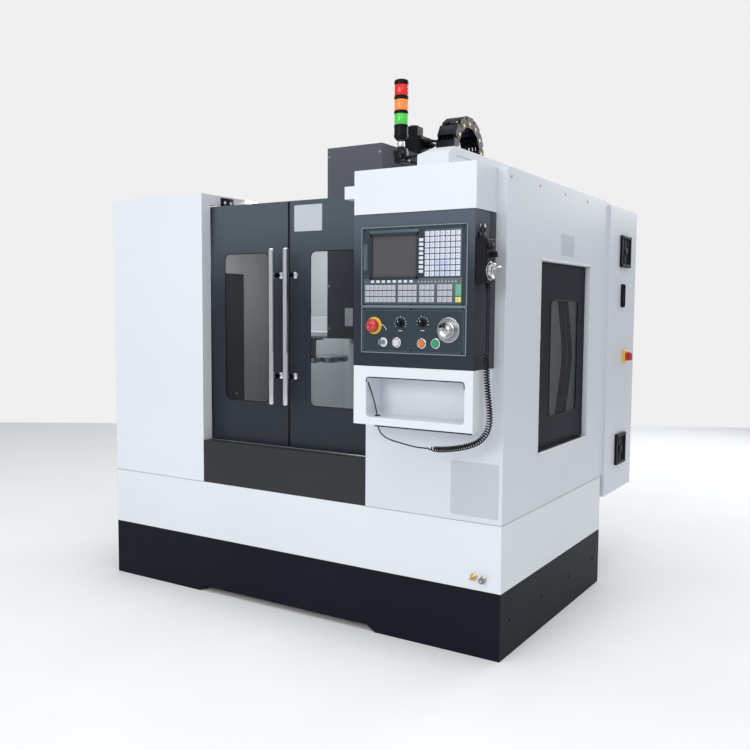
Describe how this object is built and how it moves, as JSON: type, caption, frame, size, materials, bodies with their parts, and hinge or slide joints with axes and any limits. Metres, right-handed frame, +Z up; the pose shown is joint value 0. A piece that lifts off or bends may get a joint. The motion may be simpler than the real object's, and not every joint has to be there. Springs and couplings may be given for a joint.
{
  "type": "cnc machining center",
  "caption": "Enclosed vertical machining centre with sliding front doors, swing-out service door, control station, hand pendant on a curly cord, tool magazine and signal light.",
  "frame": {"origin": "middle of the machine's footprint box, on the floor", "axes": "+Z up, -Y towards the operator, +X to the operator's right"},
  "size_m": [2.0498, 1.79, 2.222],
  "materials": {
    "base_paint": "semi-gloss textured paint",
    "white_paint": "semi-gloss powder coat",
    "panel_grey_paint": "satin powder coat",
    "side_grey_paint": "semi-gloss powder coat",
    "galvanised_steel": "bright, fine grain",
    "door_paint": "gloss powder coat",
    "window_glass": "clear",
    "polished_chrome": "polished",
    "control_paint": "satin powder coat",
    "keypad_film": "matt printed film",
    "screen_glass": "glossy screen",
    "red_plastic": "glossy",
    "black_plastic": "fine grain",
    "white_plastic": "glossy",
    "orange_plastic": "glossy",
    "green_plastic": "glossy",
    "cord_jacket": "satin",
    "lens_plastic": "ribbed, glossy",
    "brass_fitting": "plain",
    "casting_paint": "painted casting",
    "machined_iron": "ground",
    "ground_steel": "ground",
    "motor_paint": "black paint over aluminium",
    "chain_nylon": "moulded",
    "disc_aluminium": "machined",
    "hose_rubber": "satin"
  },
  "bodies": {
    "machine": {"base_skirt": "base_paint", "apron_panels": "white_paint", "lower_front_panel": "panel_grey_paint", "left_housing": "white_paint", "right_housing": "side_grey_paint", "rear_panels": "side_grey_paint", "door_rails": "galvanised_steel", "cabinet_shell": "side_grey_paint", "control_box": "control_paint", "control_hood": "white_paint", "cnc_panel": "keypad_film", "lcd_screen": "screen_glass", "operator_panel": "keypad_film", "pocket_box": "white_paint", "pendant_body": "black_plastic", "cord_lead": "cord_jacket", "cord_curl": "cord_jacket", "cord_tail": "cord_jacket", "cable_duct": "white_paint", "light_stand": "black_plastic", "light_lenses": "lens_plastic", "quick_couplings": "brass_fitting", "bed_casting": "casting_paint", "column_casting": "casting_paint", "axis_motors": "motor_paint", "cable_chain": "chain_nylon", "magazine_arm": "casting_paint", "inner_hoses": "hose_rubber"},
    "left_door": {"left_door": "door_paint", "left_door_pane": "window_glass", "left_door_handle": "polished_chrome"},
    "right_door": {"right_door": "door_paint", "right_door_pane": "window_glass", "right_door_handle": "polished_chrome"},
    "side_door": {"right_side_door": "door_paint", "right_side_pane": "window_glass"},
    "cabinet_door": {"cabinet_door": "side_grey_paint", "cabinet_fittings": "black_plastic"},
    "main_switch": {"main_switch_knob": "red_plastic"},
    "saddle": {"saddle_casting": "casting_paint"},
    "table": {"work_table": "machined_iron"},
    "head": {"head_casting": "casting_paint", "head_cover": "control_paint", "spindle_motor": "motor_paint"},
    "spindle": {"spindle": "ground_steel"},
    "y_screw": {"y_screw": "ground_steel"},
    "z_screw": {"z_screw": "ground_steel"},
    "magazine": {"magazine_carriage": "galvanised_steel"},
    "tool_disc": {"magazine_disc": "disc_aluminium"},
    "estop": {"estop_button": "red_plastic"},
    "feed_knob": {"feed_knob": "black_plastic"},
    "speed_knob": {"speed_knob": "black_plastic"},
    "handwheel": {"handwheel": "disc_aluminium"},
    "key": {"key_switch": "polished_chrome"},
    "white_button": {"white_button": "white_plastic"},
    "orange_button": {"orange_button": "orange_plastic"},
    "green_button": {"green_button": "green_plastic"},
    "pendant_wheel": {"pendant_wheel": "disc_aluminium"},
    "pendant_axis_knob": {"pendant_axis_knob": "black_plastic"},
    "pendant_step_knob": {"pendant_step_knob": "black_plastic"}
  },
  "joints": [
    {"name": "left_door_slide", "type": "slide", "parent": "machine", "child": "left_door", "axis": [1, 0, 0], "range_m": [-0.35, 0]},
    {"name": "right_door_slide", "type": "slide", "parent": "machine", "child": "right_door", "axis": [1, 0, 0], "range_m": [0, 0.35]},
    {"name": "side_door_hinge", "type": "hinge", "parent": "machine", "child": "side_door", "pos_m": [0.9551, 0.2185, 1.092], "axis": [0, 0, 1], "range_deg": [0, 90]},
    {"name": "cabinet_door_hinge", "type": "hinge", "parent": "machine", "child": "cabinet_door", "pos_m": [0.9846, 0.895, 1.079], "axis": [0, 0, 1], "range_deg": [0, 105]},
    {"name": "main_switch_turn", "type": "hinge", "parent": "cabinet_door", "child": "main_switch", "pos_m": [0.9969, 0.736, 1.051], "axis": [1, 0, 0], "range_deg": [0, 90]},
    {"name": "y_axis", "type": "slide", "parent": "machine", "child": "saddle", "axis": [0, 1, 0], "range_m": [-0.2, 0.2]},
    {"name": "x_axis", "type": "slide", "parent": "saddle", "child": "table", "axis": [1, 0, 0], "range_m": [-0.25, 0.25]},
    {"name": "z_axis", "type": "slide", "parent": "machine", "child": "head", "axis": [0, 0, 1], "range_m": [-0.2, 0.2], "deforming": ["cable_chain"]},
    {"name": "spindle_turn", "type": "hinge", "parent": "head", "child": "spindle", "pos_m": [-0.0249, -0.005, 1.06], "axis": [0, 0, 1], "continuous": true},
    {"name": "y_screw_turn", "type": "hinge", "parent": "machine", "child": "y_screw", "pos_m": [-0.0249, -0.474, 0.548], "axis": [0, 1, 0], "range_deg": [-6000, 6000]},
    {"name": "z_screw_turn", "type": "hinge", "parent": "machine", "child": "z_screw", "pos_m": [-0.0249, 0.427, 0.941], "axis": [0, 0, 1], "range_deg": [-6000, 6000]},
    {"name": "magazine_slide", "type": "slide", "parent": "machine", "child": "magazine", "axis": [1, 0, 0], "range_m": [0, 0.2]},
    {"name": "tool_disc_turn", "type": "hinge", "parent": "magazine", "child": "tool_disc", "pos_m": [-0.3899, -0.005, 1.024], "axis": [0, 0, 1], "continuous": true},
    {"name": "estop_press", "type": "slide", "parent": "machine", "child": "estop", "axis": [0, 1, 0], "range_m": [0, 0.004], "stiffness_N_per_m": 500},
    {"name": "feed_knob_turn", "type": "hinge", "parent": "machine", "child": "feed_knob", "pos_m": [0.6471, -0.853, 1.225], "axis": [0, 1, 0], "range_deg": [-135, 135]},
    {"name": "speed_knob_turn", "type": "hinge", "parent": "machine", "child": "speed_knob", "pos_m": [0.7361, -0.853, 1.227], "axis": [0, 1, 0], "range_deg": [-135, 135]},
    {"name": "handwheel_turn", "type": "hinge", "parent": "machine", "child": "handwheel", "pos_m": [0.8381, -0.853, 1.204], "axis": [0, 1, 0], "continuous": true},
    {"name": "key_turn", "type": "hinge", "parent": "machine", "child": "key", "pos_m": [0.5761, -0.853, 1.156], "axis": [0, 1, 0], "range_deg": [0, 90]},
    {"name": "white_button_press", "type": "slide", "parent": "machine", "child": "white_button", "axis": [0, 1, 0], "range_m": [0, 0.003], "stiffness_N_per_m": 500},
    {"name": "orange_button_press", "type": "slide", "parent": "machine", "child": "orange_button", "axis": [0, 1, 0], "range_m": [0, 0.003], "stiffness_N_per_m": 500},
    {"name": "green_button_press", "type": "slide", "parent": "machine", "child": "green_button", "axis": [0, 1, 0], "range_m": [0, 0.003], "stiffness_N_per_m": 500},
    {"name": "pendant_wheel_turn", "type": "hinge", "parent": "machine", "child": "pendant_wheel", "pos_m": [0.9721, -0.813, 1.405], "axis": [1, 0, 0], "continuous": true},
    {"name": "pendant_axis_turn", "type": "hinge", "parent": "machine", "child": "pendant_axis_knob", "pos_m": [0.9721, -0.826, 1.487], "axis": [1, 0, 0], "range_deg": [-60, 60]},
    {"name": "pendant_step_turn", "type": "hinge", "parent": "machine", "child": "pendant_step_knob", "pos_m": [0.9721, -0.792, 1.462], "axis": [1, 0, 0], "range_deg": [-60, 60]}
  ],
  "couplings": [
    {"joint": "y_screw_turn", "follows": "y_axis", "rad_per_m": 523.6},
    {"joint": "z_screw_turn", "follows": "z_axis", "rad_per_m": 523.6}
  ]
}
